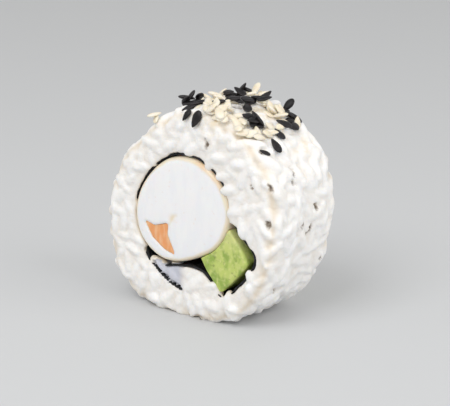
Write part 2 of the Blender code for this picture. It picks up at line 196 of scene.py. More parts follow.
@dataclass(frozen=True)
class RollForm:
    """The outer form of the roll, as its solid has it."""

    axis: Triple = (0.2 * MM, 0.0, 19.8 * MM)
    radius: float = 21.6 * MM
    length: float = 20.2 * MM
    drop: float = 0.5 * MM
    rim: float = 2.6 * MM
    face_relief: float = 0.5 * MM
    side_relief: float = 0.6 * MM
    waves: tuple[Wave, ...] = (
        (2, 0.070, 39.5), (3, 0.025, 79), (4, 0.016, 39), (5, 0.012, 17), (6, 0.006, 37),
    )

    @property
    def half(self) -> float:
        """Half the length of the core, from cut to cut."""
        return self.length / 2 - self.face_relief

    def reach_at(self, angle: float) -> float:
        """Return the outer radius at an angle from +X towards +Z."""
        waves = sum(share * math.cos(n * (angle - math.radians(top))) for n, share, top in self.waves)
        return self.radius * (1 + waves)

    def outline(self, angle: float, inset: float = 0.0) -> Vector:
        """Return the outline's point at that angle, across and up from the axis."""
        flat = Vector((math.cos(angle), math.sin(angle))) * (self.reach_at(angle) - inset)
        return flat - Vector((0, self.drop))

    def world(self, flat: Vector, along: float) -> Vector:
        """Return the point of space at a place in the cut and a place along the axis."""
        return Vector(self.axis) + Vector((flat.x, along, flat.y))

    def in_cut(self, point: Vector) -> Vector:
        """Return where in the cut a point of space lies, across and up from the axis."""
        return Vector((point.x - self.axis[0], point.z - self.axis[2]))

    def at(self, angle: float, reach: float) -> Place:
        """Return the place on the core's surface at an angle, as far along it as reach.

        Args:
            angle: Angle round the axis, from +X towards +Z.
            reach: Way along the surface from the middle of the side, over a rim, onto a cut.

        Returns:
            The place.
        """
        side = Cut.BACK.value if reach >= 0 else Cut.FRONT.value
        reach = abs(reach)
        straight = self.half - self.rim
        bend = self.rim * math.pi / 2
        edge = self.outline(angle, self.side_relief)
        step = 0.01
        ahead = self.outline(angle + step, self.side_relief) - self.outline(angle - step, self.side_relief)
        out = Vector((ahead.y, -ahead.x)).normalized()
        if reach < straight:
            lean = 0.0
            flat = edge
            y = reach
        elif reach < straight + bend:
            lean = (reach - straight) / self.rim
            flat = edge - out * self.rim * (1 - math.cos(lean))
            y = straight + self.rim * math.sin(lean)
        else:
            lean = math.pi / 2
            flat = edge - out * (self.rim + reach - straight - bend)
            y = self.half
        normal = Vector((out.x * math.cos(lean), side * math.sin(lean), out.y * math.cos(lean)))
        return Place(self.world(flat, side * y), normal, Vector((-out.y, 0, out.x)), lean)

    def depth(self, point: Vector) -> float:
        """Return how far under the core's outer form the point of space lies, or above it if negative.

        Args:
            point: The point of space.

        Returns:
            The depth.
        """
        across = point.x - self.axis[0]
        up = point.z - self.axis[2] + self.drop
        side = self.reach_at(math.atan2(up, across)) - self.side_relief - math.hypot(across, up)
        return min(side, self.half - abs(point.y))


@dataclass(frozen=True)
class FillingForm:
    """The outlines in the cut of what the rice holds, in millimetres from the axis where they are pairs."""

    prawn_middle: Pair = (-1.8, 1.2)
    prawn_radius: float = 11.1 * MM
    prawn_waves: tuple[Wave, ...] = ((2, 1.22 * MM, 30), (3, 0.30 * MM, -16))
    prawn_steps: int = 120
    prawn_gap: float = 0.38 * MM
    prawn_arc: tuple[float, float, int] = (215, 0, 24)
    nori_steps: int = 120
    slot_half: float = 0.30 * MM
    slot_end: float = 0.4 * MM
    outer_lap: tuple[Pair, ...] = (
        (-1.0, -15.1), (-3.1, -14.6), (-5.3, -13.8), (-7.2, -12.7), (-8.9, -11.4), (-10.6, -9.9),
    )
    round_avocado: tuple[Pair, ...] = (
        (11.6, 0.4), (13.0, -1.0), (14.9, -2.7), (16.2, -4.5), (15.9, -6.5), (14.2, -8.9), (12.0, -11.2),
        (10.2, -13.2), (8.9, -14.1), (7.5, -13.6), (5.4, -11.3), (3.6, -9.9),
    )
    inner_lap: tuple[Pair, ...] = ((1.2, -9.5), (-1.3, -9.7), (-3.9, -10.2), (-6.1, -10.7))
    tongue_tip: tuple[Pair, ...] = ((-6.8, -10.9), (-7.5, -10.4), (-8.3, -10.2), (-8.9, -10.45))
    coral: tuple[Pair, ...] = (
        (-11.1, -2.2), (-8.4, -2.9), (-4.7, -1.7), (-5.1, -4.1), (-3.0, -8.0), (-5.9, -7.3), (-9.0, -5.4),
    )
    avocado: tuple[Pair, ...] = ((10.0, -0.3), (14.8, -6.2), (8.0, -13.2), (2.8, -7.1))
    avocado_radius: float = 0.45 * MM
    avocado_bulge: float = 0.25 * MM
    corner_steps: int = 5
    side_shares: tuple[float, ...] = (0.25, 0.4, 0.5, 0.6, 0.75)
    tongue_over: float = 0.3 * MM
    tongue_root: Pair = (-3.2 * MM, -0.2 * MM)
    tongue_start: Pair = (-9.6 * MM, -9.0 * MM)

    @staticmethod
    def flat(pairs: Sequence[Pair]) -> list[Vector]:
        """Return the pairs of millimetres as flat vectors in metres."""
        return [Vector(pair) * MM for pair in pairs]

    def prawn_reach(self, angle: float) -> float:
        """Return the prawn's radius at an angle round its own middle."""
        waves = sum(high * math.cos(n * (angle - math.radians(top))) for n, high, top in self.prawn_waves)
        return self.prawn_radius + waves

    def prawn_point(self, angle: float, outward: float = 0.0) -> Vector:
        """Return a point of the prawn's outline, or off it."""
        middle = Vector(self.prawn_middle) * MM
        return middle + Vector((math.cos(angle), math.sin(angle))) * (self.prawn_reach(angle) + outward)

    def prawn_outline(self, outward: float = 0.0) -> list[Vector]:
        """Return the prawn's whole outline."""
        return [self.prawn_point(TAU * k / self.prawn_steps, outward) for k in range(self.prawn_steps)]

    def nori_line(self) -> list[Vector]:
        """Return the nori's middle line, from its outer end to its inner end.

        Returns:
            The line's points, across and up from the axis.
        """
        first, last, count = self.prawn_arc
        over = [math.radians(first + (last - first) * k / count) for k in range(count + 1)]
        round_prawn = [self.prawn_point(angle, self.prawn_gap) for angle in over]
        rest = self.flat(self.round_avocado + self.inner_lap)
        return smooth_route(self.flat(self.outer_lap) + round_prawn + rest, self.nori_steps)

    def cavity(self) -> list[Vector]:
        """Return the outline of all that isn't rice inside the roll.

        Returns:
            The closed outline.
        """
        line = self.nori_line()
        longer = [line[0] + (line[0] - line[1]).normalized() * self.slot_end] + line
        tip = self.flat(self.tongue_tip)
        beside = min(range(self.nori_steps // 3), key=lambda k: (longer[k] - tip[-1]).length)
        outside = offset_route(longer, self.slot_half)
        return outside + tip + offset_route(longer, -self.slot_half)[beside - 1::-1]

    def tongue_share(self, flat: Vector) -> float:
        """Return how far the flat point is into the tongue of rice between the two laps, from 0 to 1.

        Args:
            flat: The flat point, across and up from the axis.

        Returns:
            The share.
        """
        upper = sorted(self.flat(self.inner_lap + self.tongue_tip), key=lambda p: p.x)
        lower = sorted(self.flat(self.outer_lap), key=lambda p: p.x)
        top = np.interp(flat.x, [p.x for p in upper], [p.y for p in upper])
        low = np.interp(flat.x, [p.x for p in lower], [p.y for p in lower])
        if not low < flat.y < top + self.tongue_over:
            return 0.0
        return (1 - smoothstep(flat.x, *self.tongue_root)) * smoothstep(flat.x, *self.tongue_start)

    def avocado_outline(self) -> list[Vector]:
        """Return the avocado's outline: four rounded corners with slightly bulging sides between them.

        Returns:
            The closed outline, the same way round as the corners.
        """
        corners = self.flat(self.avocado)
        points = []
        for k, corner in enumerate(corners):
            before = (corners[k - 1] - corner).normalized()
            after = (corners[(k + 1) % len(corners)] - corner).normalized()
            half = before.angle(after) / 2
            middle = corner + (before + after).normalized() * self.avocado_radius / math.sin(half)
            start = corner + before * self.avocado_radius / math.tan(half) - middle
            end = corner + after * self.avocado_radius / math.tan(half) - middle
            turn = math.atan2(start.x * end.y - start.y * end.x, start.dot(end))
            for step in range(self.corner_steps + 1):
                points.append(middle + Matrix.Rotation(turn * step / self.corner_steps, 2) @ start)
            side = corners[(k + 1) % len(corners)] - corner
            out = Vector((-side.y, side.x)).normalized()
            for share in self.side_shares:
                points.append(corner + side * share + out * self.avocado_bulge * (1 - (2 * share - 1) ** 2))
        return points


ROLL = RollForm()
FILLING = FillingForm()


def link(thing: bpy.types.Object) -> bpy.types.Object:
    """Link the object to the scene and return it."""
    bpy.context.scene.collection.objects.link(thing)
    return thing


def finished_mesh(work: bmesh.types.BMesh, name: str) -> bpy.types.Mesh:
    """Return a new mesh with the worked shape, which is freed.

    Args:
        work: The worked shape.
        name: Name of the mesh.

    Returns:
        The mesh.
    """
    mesh = bpy.data.meshes.new(name)
    work.to_mesh(mesh)
    work.free()
    return mesh


def finished_thing(work: bmesh.types.BMesh, name: str) -> bpy.types.Object:
    """Return a new object with the worked shape, linked to the scene."""
    return link(bpy.data.objects.new(name, finished_mesh(work, name)))


def bake(thing: bpy.types.Object) -> None:
    """Make the object's evaluated mesh its own, and drop its modifiers.

    Args:
        thing: The object.
    """
    bpy.context.view_layer.update()
    graph = bpy.context.evaluated_depsgraph_get()
    mesh = bpy.data.meshes.new_from_object(thing.evaluated_get(graph))
    thing.modifiers.clear()
    thing.data = mesh


def carve(thing: bpy.types.Object, cutter: bpy.types.Object) -> None:
    """Cut the cutter off the object, and remove the cutter.

    Args:
        thing: The object that is cut.
        cutter: The object whose form is taken out of it.
    """
    modifier = thing.modifiers.new("cut", "BOOLEAN")
    modifier.operation = "DIFFERENCE"
    modifier.solver = "EXACT"
    modifier.object = cutter
    bake(thing)
    bpy.data.objects.remove(cutter)


def remade(thing: bpy.types.Object, voxel: float, passes: int) -> None:
    """Give the object one even skin, softened by some passes of smoothing.

    Args:
        thing: The object.
        voxel: Size of the skin's faces.
        passes: Passes of smoothing.
    """
    skin = thing.modifiers.new("skin", "REMESH")
    skin.mode = "VOXEL"
    skin.voxel_size = voxel
    if passes:
        soft = thing.modifiers.new("soft", "SMOOTH")
        soft.factor = 0.5
        soft.iterations = passes
    bake(thing)


def prism(name: str, outline: Sequence[Vector], half: float, rim: float = 0.0) -> bpy.types.Object:
    """Return a closed slice of the roll with that outline, from cut to cut, with rounded rims.

    Args:
        name: Name of the object.
        outline: Closed outline in the cut, across and up from the roll's axis.
        half: Half of its length along the axis.
        rim: Radius of the rounded rims.

    Returns:
        The object, linked to the scene.
    """
    work = bmesh.new()
    ring = bmesh.ops.create_circle(work, segments=len(outline), radius=1.0)["verts"]
    for vertex, flat in zip(ring, outline):
        vertex.co = ROLL.world(flat, -half)
    made = bmesh.ops.extrude_edge_only(work, edges=work.edges[:])
    moved = [g for g in made["geom"] if isinstance(g, bmesh.types.BMVert)]
    bmesh.ops.translate(work, verts=moved, vec=(0, 2 * half, 0))
    caps = bmesh.ops.holes_fill(work, edges=work.edges[:], sides=0)["faces"]
    bmesh.ops.recalc_face_normals(work, faces=work.faces[:])
    if rim:
        edges = list({edge for cap in caps for edge in cap.edges})
        bmesh.ops.bevel(
            work, geom=edges, offset=rim, offset_type="OFFSET", segments=RIM_STEPS, profile=0.5,
            affect="EDGES", material=-1, clamp_overlap=True,
        )
    bmesh.ops.triangulate(work, faces=[face for face in work.faces if len(face.verts) > 4])
    return finished_thing(work, name)


def move_points(thing: bpy.types.Object, shift: Callable[[Vector, Vector], Vector]) -> None:
    """Move each point of the object's mesh by what shift returns for its place and normal.

    Args:
        thing: The object.
        shift: Gives the way that a point with that normal moves.
    """
    mesh = thing.data
    normals = [normal.vector.copy() for normal in mesh.vertex_normals]
    for vertex, normal in zip(mesh.vertices, normals):
        vertex.co += shift(vertex.co, normal)
    mesh.update()


def paint(thing: bpy.types.Object, name: str, value: Callable[[Vector], float]) -> None:
    """Store a number at each point of the object's mesh, for its material to read."""
    layer = thing.data.attributes.new(name, "FLOAT", "POINT")
    layer.data.foreach_set("value", [value(vertex.co) for vertex in thing.data.vertices])


@dataclass(frozen=True)
class Kernel:
    """A grain or seed with few faces: its half sizes, how it narrows to one end, and its bend.

    The narrowing starts at narrow_from along it, from -1 to 1, and takes the height along apart from its even
    share. The bend leaves the points at the root of bend_level along it where they are.
    """

    half_length: float
    half_width: float
    half_height: float
    sides: int
    rings: int
    narrowing: float = 0.0
    bend: float = 0.0
    bluntness: float = 0.8
    narrow_from: float = -0.2
    bend_level: float = 0.3
    even_height: float = 0.6

    def mesh(self, name: str) -> bpy.types.Mesh:
        """Return its mesh, its length along X and its flat side down.

        Args:
            name: Name of the mesh.

        Returns:
            The mesh.
        """
        work = bmesh.new()
        bmesh.ops.create_uvsphere(work, u_segments=self.sides, v_segments=self.rings, radius=1.0)
        bmesh.ops.rotate(work, verts=work.verts, matrix=Matrix.Rotation(math.pi / 2, 3, "Y"))
        for vertex in work.verts:
            x, y, z = vertex.co
            narrow = 1 - self.narrowing * max(0.0, x - self.narrow_from)
            blunt = math.copysign(abs(x) ** self.bluntness, x)
            vertex.co = Vector((
                blunt * self.half_length,
                y * self.half_width * narrow + self.bend * self.half_length * (x * x - self.bend_level),
                z * self.half_height * (self.even_height + (1 - self.even_height) * narrow),
            ))
        bmesh.ops.recalc_face_normals(work, faces=work.faces)
        mesh = finished_mesh(work, name)
        mesh.shade_smooth()
        return mesh


def stamp(work: bmesh.types.BMesh, mesh: bpy.types.Mesh, frames: Sequence[Matrix]) -> None:
    """Add a copy of the mesh at each frame.

    Args:
        work: The shape that the copies are added to.
        mesh: The mesh that is copied.
        frames: Where each copy lies.
    """
    for one in frames:
        before = len(work.verts)
        work.from_mesh(mesh)
        work.verts.ensure_lookup_table()
        bmesh.ops.transform(work, matrix=one, verts=work.verts[before:])


class Graph:
    """Builds the nodes of one material on object coordinates."""

    def __init__(self, name: str, roughness: float) -> None:
        """Start a material.

        Args:
            name: Name of the material.
            roughness: Roughness of its surface.
        """
        self.material = bpy.data.materials.new(name)
        self.material.use_nodes = True
        self.nodes = self.material.node_tree.nodes
        self.shader = self.nodes["Principled BSDF"]
        self.shader.inputs["Roughness"].default_value = roughness
        self.place = self.nodes.new("ShaderNodeTexCoord").outputs["Object"]
        self.normal: bpy.types.NodeSocket | None = None

    def join(self, source: bpy.types.NodeSocket, target: bpy.types.NodeSocket) -> None:
        """Link one socket to another."""
        self.material.node_tree.links.new(source, target)

    def colour(self, source: bpy.types.NodeSocket) -> None:
        """Take the base colour from the socket."""
        self.join(source, self.shader.inputs["Base Color"])

    def flesh(self, weight: float, radius: Colour, depth: float) -> None:
        """Let light into the surface: how much, how far each colour goes, and the depth of that.

        Args:
            weight: How much light goes in.
            radius: How far red, green and blue go, as shares.
            depth: The depth of a share of 1.
        """
        self.shader.inputs["Subsurface Weight"].default_value = weight
        self.shader.inputs["Subsurface Radius"].default_value = radius
        self.shader.inputs["Subsurface Scale"].default_value = depth

    def shine(self, level: float) -> None:
        """Set how strongly the surface mirrors, where 0.5 is usual."""
        self.shader.inputs["Specular IOR Level"].default_value = level

    def coat(self, weight: float, roughness: float) -> None:
        """Lay a moist film over the surface."""
        self.shader.inputs["Coat Weight"].default_value = weight
        self.shader.inputs["Coat Roughness"].default_value = roughness

    def noise(
        self, size: float, detail: float = 2.0, stretch: Triple = (1, 1, 1), turn: Triple = (0, 0, 0),
    ) -> bpy.types.NodeSocket:
        """Return a soft random pattern.

        Args:
            size: Size of its blotches.
            detail: How much finer structure it has.
            stretch: How many times longer the blotches are each way.
            turn: Turn of the stretched pattern.

        Returns:
            Its value, round 0.5.
        """
        mapping = self.nodes.new("ShaderNodeMapping")
        mapping.inputs["Scale"].default_value = [1 / share for share in stretch]
        mapping.inputs["Rotation"].default_value = turn
        self.join(self.place, mapping.inputs["Vector"])
        node = self.nodes.new("ShaderNodeTexNoise")
        node.inputs["Scale"].default_value = 1 / size
        node.inputs["Detail"].default_value = detail
        self.join(mapping.outputs["Vector"], node.inputs["Vector"])
        return node.outputs["Fac"]

    def attribute(self, name: str) -> bpy.types.NodeSocket:
        """Return the number painted on the mesh under that name.

        Args:
            name: Name of the painted number.

        Returns:
            Its value.
        """
        node = self.nodes.new("ShaderNodeAttribute")
        node.attribute_name = name
        return node.outputs["Fac"]

    def span(
        self, value: bpy.types.NodeSocket, low: float, high: float, start: float = 0.0, end: float = 1.0,
    ) -> bpy.types.NodeSocket:
        """Return the value smoothly mapped from low..high to start..end.

        Args:
            value: The value.
            low: Where the mapping starts.
            high: Where it ends.
            start: The result at low.
            end: The result at high.

        Returns:
            The mapped value.
        """
        node = self.nodes.new("ShaderNodeMapRange")
        node.interpolation_type = "SMOOTHSTEP"
        for socket, number in (("From Min", low), ("From Max", high), ("To Min", start), ("To Max", end)):
            node.inputs[socket].default_value = number
        self.join(value, node.inputs["Value"])
        return node.outputs["Result"]

    def times(self, one: bpy.types.NodeSocket, two: bpy.types.NodeSocket) -> bpy.types.NodeSocket:
        """Return the product of two values.

        Args:
            one: The first value.
            two: The second value.

        Returns:
            Their product.
        """
        node = self.nodes.new("ShaderNodeMath")
        node.operation = "MULTIPLY"
        self.join(one, node.inputs[0])
        self.join(two, node.inputs[1])
        return node.outputs["Value"]

    def mix(
        self,
        share: bpy.types.NodeSocket,
        one: Colour | bpy.types.NodeSocket,
        two: Colour | bpy.types.NodeSocket,
    ) -> bpy.types.NodeSocket:
        """Return the first colour where share is 0 and the second where it is 1.

        Args:
            share: The share of the second colour.
            one: The first colour.
            two: The second colour.

        Returns:
            The mixed colour.
        """
        node = self.nodes.new("ShaderNodeMix")
        node.data_type = "RGBA"
        self.join(share, node.inputs[MIX_SHARE])
        for value, socket in ((one, node.inputs[MIX_FIRST]), (two, node.inputs[MIX_SECOND])):
            if isinstance(value, tuple):
                socket.default_value = (*value, 1.0)
            else:
                self.join(value, socket)
        return node.outputs[MIX_RESULT]

    def bump(self, height: bpy.types.NodeSocket, depth: float, strength: float = 1.0) -> None:
        """Add relief of that depth, over whatever relief the surface already has.

        Args:
            height: The pattern of the relief.
            depth: Its depth.
            strength: How strongly it shows, from 0 to 1.
        """
        node = self.nodes.new("ShaderNodeBump")
        node.inputs["Distance"].default_value = depth
        node.inputs["Strength"].default_value = strength
        self.join(height, node.inputs["Height"])
        if self.normal is not None:
            self.join(self.normal, node.inputs["Normal"])
        self.normal = node.outputs["Normal"]
        self.join(self.normal, self.shader.inputs["Normal"])

    def rough(self, source: bpy.types.NodeSocket) -> None:
        """Take the roughness from the socket."""
        self.join(source, self.shader.inputs["Roughness"])


@dataclass(frozen=True)
class RiceFinish:
    """Moist cooked rice: bright where grains stand out, with painted shade between them, in the tongue and in
    the pits.
    """

    name: str = "cooked_rice"
    bright: Colour = (0.925, 0.90, 0.87)
    milky: Colour = (0.945, 0.93, 0.915)
    crevice_shade: Colour = (0.80, 0.70, 0.56)
    shade: Colour = (0.60, 0.61, 0.68)
    stain: Colour = (0.80, 0.66, 0.44)
    # Painted shade in the pits.
    pit: Colour = (0.13, 0.085, 0.05)

    def material(self) -> bpy.types.Material:
        """Return the material, which paints shade by how deep, shaded and pitted each point is, and reads its
        stain.

        Returns:
            The material.
        """
        graph = Graph(self.name, 0.4)
        blotches = graph.span(graph.noise(2.6 * MM, 2.0), 0.4, 0.62)
        body = graph.mix(blotches, self.bright, self.milky)
        # Painted shade: the rice turns creamier and darker where it lies deep between the grains.
        body = graph.mix(graph.attribute("crevice"), body, self.crevice_shade)
        patchy = graph.span(graph.noise(1.7 * MM, 3.0), 0.42, 0.66)
        body = graph.mix(graph.times(graph.attribute("stain"), patchy), body, self.stain)
        # Painted shade: bluish grey over the tongue that sinks back between the two laps.
        body = graph.mix(graph.attribute("shade"), body, self.shade)
        # Painted shade: dark brown in the pits that missing grains leave.
        graph.colour(graph.mix(graph.attribute("pit"), body, self.pit))
        graph.rough(graph.span(graph.noise(1.1 * MM, 2.0), 0.35, 0.65, 0.3, 0.5))
        graph.flesh(0.4, (1.0, 0.9, 0.78), 0.9 * MM)
        graph.bump(graph.noise(1.0 * MM, 3.0), 0.25 * MM, 0.6)
        graph.bump(graph.noise(0.36 * MM, 3.0), 0.13 * MM, 0.7)
        return graph.material


@dataclass(frozen=True)
class NoriFinish:
    """Moist nori: green-black with a faint painted sheen in paler blotches, and the fine crinkle of pressed
    seaweed.
    """

    name: str = "moist_nori"
    dark: Colour = (0.004, 0.005, 0.006)
    painted_sheen: Colour = (0.030, 0.030, 0.042)

    def material(self) -> bpy.types.Material:
        """Return the material.

        Returns:
            The material.
        """
        graph = Graph(self.name, 0.45)
        graph.shine(0.3)
        # Painted sheen: paler bluish blotches in the base colour.
        graph.colour(graph.mix(graph.span(graph.noise(1.3 * MM, 4.0), 0.5, 0.7), self.dark, self.painted_sheen))
        graph.bump(graph.noise(0.5 * MM, 4.0), 0.12 * MM, 0.7)
        return graph.material


@dataclass(frozen=True)
class PrawnFinish:
    """Cooked prawn in the cut: bluish white, with a cream skin line and an orange blush on one side."""

    name: str = "prawn_flesh"
    flesh: Colour = (0.895, 0.895, 0.92)
    pale: Colour = (0.925, 0.92, 0.93)
    skin: Colour = (0.86, 0.75, 0.58)
    blush: Colour = (0.86, 0.58, 0.34)
    fleck: Colour = (0.86, 0.74, 0.68)

    def material(self) -> bpy.types.Material:
        """Return the material, which reads the skin line, the blush and the seam painted on the mesh.

        Returns:
            The material.
        """
        graph = Graph(self.name, 0.34)
        fibres = graph.noise(1.5 * MM, 4.0, stretch=(1.0, 1.0, 3.5), turn=(0, 0.6, 0))
        body = graph.mix(graph.span(fibres, 0.38, 0.64), self.flesh, self.pale)
        flecks = graph.span(graph.noise(0.9 * MM, 1.0), 0.66, 0.76, 0.0, 0.35)
        body = graph.mix(flecks, body, self.fleck)
        body = graph.mix(graph.attribute("skin"), body, self.skin)
        graph.colour(graph.mix(graph.attribute("blush"), body, self.blush))
        graph.flesh(0.5, (1.0, 0.75, 0.62), 1.6 * MM)
        graph.coat(0.15, 0.25)
        graph.bump(fibres, 0.12 * MM, 0.35)
        graph.bump(graph.noise(0.5 * MM, 3.0), 0.04 * MM, 0.4)
        return graph.material


@dataclass(frozen=True)
class CoralFinish:
    """The prawn's coral outer flesh: orange, with paler fibres across it."""

    name: str = "coral_flesh"
    strong: Colour = (0.86, 0.37, 0.14)
    pale: Colour = (0.88, 0.50, 0.27)

    def material(self) -> bpy.types.Material:
        """Return the material.

        Returns:
            The material.
        """
        graph = Graph(self.name, 0.36)
        fibres = graph.noise(0.7 * MM, 3.0, stretch=(1.0, 1.0, 4.0), turn=(0, -0.9, 0))
        graph.colour(graph.mix(graph.span(fibres, 0.4, 0.7), self.strong, self.pale))
        graph.flesh(0.3, (1.0, 0.5, 0.3), 0.8 * MM)
        graph.bump(fibres, 0.1 * MM, 0.4)
        return graph.material


@dataclass(frozen=True)
class AvocadoFinish:
    """Ripe avocado in the cut: yellow-green, paler and yellower at the top, mottled green lower down."""

    name: str = "avocado_flesh"
    pale: Colour = (0.71, 0.71, 0.31)
    middle: Colour = (0.55, 0.645, 0.165)
    green: Colour = (0.31, 0.44, 0.075)
    spot: Colour = (0.19, 0.24, 0.05)

    def material(self) -> bpy.types.Material:
        """Return the material, which reads the height in the stick painted on the mesh.

        Returns:
            The material.
        """
        graph = Graph(self.name, 0.38)
        mottle = graph.noise(2.4 * MM, 4.0, stretch=(1.0, 1.0, 1.6), turn=(0, 0.5, 0))
        body = graph.mix(graph.span(mottle, 0.40, 0.58), self.green, self.middle)
        spots = graph.span(graph.noise(1.0 * MM, 2.0), 0.62, 0.74, 0.0, 0.6)
        body = graph.mix(spots, body, self.spot)
        fine = graph.span(graph.noise(0.8 * MM, 3.0), 0.45, 0.75, 0.0, 0.6)
        body = graph.mix(fine, body, self.pale)
        graph.colour(graph.mix(graph.attribute("height"), body, self.pale))
        graph.flesh(0.25, (0.8, 1.0, 0.4), 0.8 * MM)
        graph.bump(mottle, 0.25 * MM, 0.4)
        graph.bump(graph.noise(0.45 * MM, 3.0), 0.07 * MM, 0.5)
        return graph.material


@dataclass(frozen=True)
class SeedFinish:
    """Sesame of one colour, with a paler rib round its edge and a fine pitted coat."""

    name: str
    body: Colour
    tone: Colour
    rib: Colour
    roughness: float
    depth: float

    def material(self) -> bpy.types.Material:
        """Return the material, which reads the rib painted on the seeds.

        Returns:
            The material.
        """
        graph = Graph(self.name, self.roughness)
        tones = graph.mix(graph.span(graph.noise(1.6 * MM, 2.0), 0.4, 0.64), self.body, self.tone)
        graph.colour(graph.mix(graph.attribute("rib"), tones, self.rib))
        if self.depth:
            graph.flesh(0.25, (1.0, 0.8, 0.5), self.depth)
        else:
            graph.shine(0.3)
        graph.bump(graph.noise(0.16 * MM, 2.0), 0.04 * MM, 0.6)
        return graph.material


@dataclass(frozen=True)
class FloorFinish:
    """A plain pale matt tabletop."""

    name: str = "pale_tabletop"
    pale: Colour = (0.60, 0.61, 0.62)

    def material(self) -> bpy.types.Material:
        """Return the material.

        Returns:
            The material.
        """
        graph = Graph(self.name, 0.6)
        graph.shader.inputs["Base Color"].default_value = (*self.pale, 1.0)
        return graph.material


def dress(
    thing: bpy.types.Object,
    material: bpy.types.Material,
    stands_for: str | None = None,
) -> bpy.types.Object:
    """Give a finished piece its material, ride it on the roll's body and hide the solid that it stands for.

    Args:
        thing: The finished piece.
        material: Its material.
        stands_for: The solid that it replaces.

    Returns:
        The piece.
    """
    thing.data.materials.clear()
    thing.data.materials.append(material)
    thing.data.shade_smooth()
    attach(thing, "root")
    if stands_for:
        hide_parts(stands_for)
    LOG.info("%s: %d faces", thing.name, len(thing.data.polygons))
    return thing


@dataclass(frozen=True)
class Lip:
    """A stretch of rice on both cuts that closes in on the prawn, between two angles, to a gap."""

    first: float
    last: float
    gap: float


@dataclass
class Rice:
    """The rice: a core covered with pressed grains, in one skin.

    A grain on a cut keeps slot_margin from the nori's slot, times a share that is smaller in the tongue and
    larger beside the avocado and over the prawn, where dark gaps show. The lips, the grains on them and in
    the tongue, the pits and the stains have their angles in degrees and their places in millimetres.
    """

    grain: Kernel = Kernel(2.9 * MM, 1.25 * MM, 1.1 * MM, 10, 8, bend=0.10)
    grain_draw: int = 4
    voxel: float = 0.307 * MM
    passes: int = 2
    core_inset: float = 0.1 * MM
    core_sides: int = 160
    pressed_count: int = 760
    pressed_tries: int = 14
    pressed_spacing: float = 2.05 * MM
    side_proud: Pair = (0.1 * MM, 0.95 * MM)
    face_proud: Pair = (0.05 * MM, 0.55 * MM)
    grain_sizes: Pair = (0.82, 1.12)
    grain_tilt: float = 0.16
    rim_leans: Pair = (0.05, 1.4)
    rim_turn: float = math.radians(110)
    face_depth: float = 9.5 * MM
    face_lean: float = 0.9
    slot_margin: float = 0.6 * MM
    least_in_tongue: float = 0.1
    tongue_margin: float = 0.6
    avocado_margin: float = 1.9
    avocado_corner: Pair = (9.5 * MM, 1 * MM)
    prawn_margin: float = 2.6
    prawn_corner: Pair = (5 * MM, 1 * MM)
    tongue_grains: tuple[Triple, ...] = ((-8.1, -10.75, -20), (-6.3, -11.7, -24), (-4.3, -12.2, 8))
    tongue_grain_back: float = 1.1 * MM
    tongue_grain_size: float = 0.85
    lips: tuple[Lip, ...] = (
        Lip(-1, 22, 0.05 * MM), Lip(22, 62, 0.7 * MM), Lip(108, 181, 0.42 * MM), Lip(181, 224, 0.25 * MM),
    )
    lip_step: float = 3
    lip_width: float = 2.2 * MM
    lip_depth: float = 1.1 * MM
    open_gap: float = 0.3 * MM
    lip_grain_ends: Pair = (8, 4)
    lip_grain_apart: Pair = (11, 19)
    lip_grain_off: Pair = (1.0, 1.5)
    lip_grain_back: Pair = (0.75, 1.0)
    lip_grain_turn: float = 12
    lip_grain_size: float = 0.9
    roughness: tuple[Pair, ...] = ((0.1 * MM, 1.4 * MM), (0.08 * MM, 0.75 * MM))
    tongue_recess: float = 0.4 * MM
    tongue_groove: float = 0.8 * MM
    groove_band: Pair = (0.4 * MM, 0.9 * MM)
    sunk_band: Pair = (6 * MM, 8.5 * MM)
    crevice_share: float = 0.9
    crevice_band: Pair = (-0.25 * MM, 0.9 * MM)
    pits: tuple[Pair, ...] = (
        (30, -2.6), (26, -3.4), (30, -12.8), (27, -9.0), (8, -7.2), (44, -7.4), (0, 1.4), (8, -9.8),
        (74, -13.6),
    )
    pit_draw: int = 5
    pit_count: int = 20
    pit_span: Pair = (-6 * MM, 4 * MM)
    pit_turn: float = 0.7
    pit_radius: float = 0.34 * MM
    pit_stretch: float = 2.8
    pit_sizes: Pair = (0.55, 1.25)
    pit_depth: float = 0.6 * MM
    pit_reach: float = 3 * MM
    pit_walls: Pair = (1.3 * MM, 2.0 * MM)
    pit_ragged: float = 0.55
    pit_ragged_size: float = 0.8 * MM
    pit_tree: KDTree | None = None
    pit_frames: list[Matrix] = field(default_factory=list)
    stain_spots: tuple[Triple, ...] = (
        (72, -8, 3.6), (60, -6, 3.0), (66, 2, 3.6), (52, 0, 2.6), (88, -2, 3.6), (92, 6, 3.0), (42, 3, 2.4),
    )
    stain_share: float = 0.75
    finish: RiceFinish = RiceFinish()

    def margin_share(self, flat: Vector) -> float:
        """Return how many times slot_margin a grain at the flat point of a cut keeps from the nori's slot.

        Args:
            flat: The flat point, across and up from the axis.

        Returns:
            The share.
        """
        if FILLING.tongue_share(flat) > self.least_in_tongue:
            return self.tongue_margin
        if flat.x > self.avocado_corner[0] and flat.y < self.avocado_corner[1]:
            return self.avocado_margin
        if flat.x < self.prawn_corner[0] and flat.y > self.prawn_corner[1]:
            return self.prawn_margin
        return 1.0

    def places(self, draw: random.Random) -> list[Place]:
        """Return places spread evenly over the side, the rims and the cuts, off the fillings.

        Args:
            draw: The source of random numbers.

        Returns:
            The places.
        """
        cavity = FILLING.cavity()
        ring = cavity + cavity[:1]
        deepest = ROLL.half + self.face_depth
        taken = np.zeros((0, 3))
        found = []
        for _ in range(self.pressed_count * self.pressed_tries):
            if len(found) == self.pressed_count:
                break
            place = ROLL.at(draw.uniform(0, TAU), draw.uniform(-deepest, deepest))
            spot = np.array(place.point)
            if len(taken) and np.min(np.sum((taken - spot) ** 2, axis=1)) < self.pressed_spacing ** 2:
                continue
            flat = ROLL.in_cut(place.point)
            near = self.margin_share(flat) * self.slot_margin
            if place.lean > self.face_lean and (inside(flat, cavity) or nearest_on(flat, ring) < near):
                continue
            taken = np.vstack((taken, spot))
            found.append(place)
        return found

